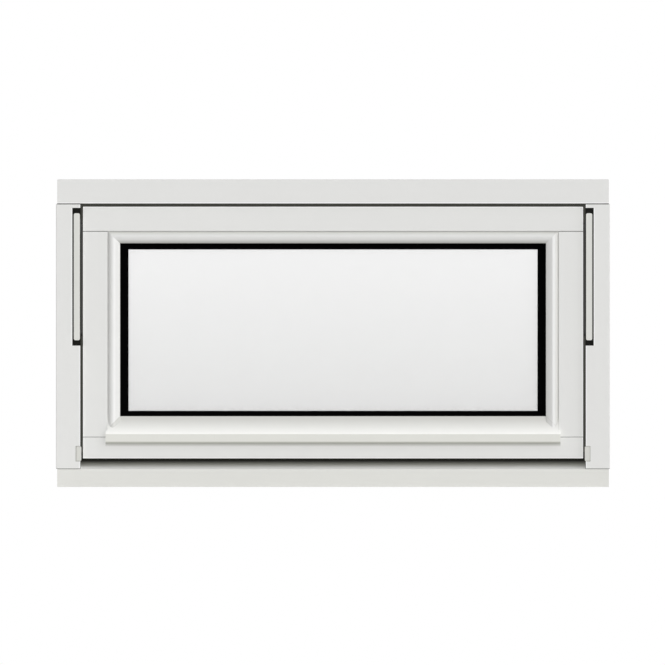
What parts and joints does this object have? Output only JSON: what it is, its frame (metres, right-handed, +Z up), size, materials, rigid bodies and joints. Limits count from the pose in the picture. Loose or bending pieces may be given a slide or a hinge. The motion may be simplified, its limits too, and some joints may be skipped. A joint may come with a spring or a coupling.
{
  "type": "reversible top swing pivot window",
  "caption": "White timber pivot window, shown closed, with a double glazed sash held by moulded beads, a sloping drip bead and reversing hinges in the jambs.",
  "frame": {"origin": "on the underside of the sill, midway across the width and the frame depth", "axes": "+X to the right seen from outside, +Y towards the room, +Z up"},
  "size_m": [0.99, 0.115, 0.55],
  "materials": {
    "frame_paint": "white paint, satin",
    "sash_paint": "white paint, satin",
    "bead_paint": "white paint, satin",
    "drip_bead": "white paint, satin",
    "glass": "clear float glass",
    "spacer": "black",
    "setting_block": "grey",
    "gasket": "black, matt",
    "seal": "dark, matt",
    "hinge_rail": "light painted",
    "hinge_shoe": "grey",
    "hinge_steel": "zinc plated",
    "guide_block": "pale",
    "handle": "satin"
  },
  "bodies": {
    "root": {"frame_head": "frame_paint", "frame_sill": "frame_paint", "frame_jamb_left": "frame_paint", "frame_jamb_right": "frame_paint", "sash_top_rail": "sash_paint", "sash_bottom_rail": "sash_paint", "sash_stile_left": "sash_paint", "sash_stile_right": "sash_paint", "bead_top": "bead_paint", "bead_side_left": "bead_paint", "bead_side_right": "bead_paint", "bead_bottom": "drip_bead", "glass_outer_pane": "glass", "glass_inner_pane": "glass", "glass_spacer": "spacer", "setting_block_left": "setting_block", "setting_block_right": "setting_block", "glazing_gasket_outer": "gasket", "glazing_gasket_inner": "gasket", "weather_seal": "seal", "hinge_rail_left": "hinge_rail", "hinge_rail_right": "hinge_rail", "hinge_shoe_left": "hinge_shoe", "hinge_shoe_right": "hinge_shoe", "hinge_arm_left": "hinge_steel", "hinge_arm_right": "hinge_steel", "guide_block_left": "guide_block", "guide_block_right": "guide_block", "handle_plate": "handle", "handle_lever": "handle"}
  },
  "joints": []
}
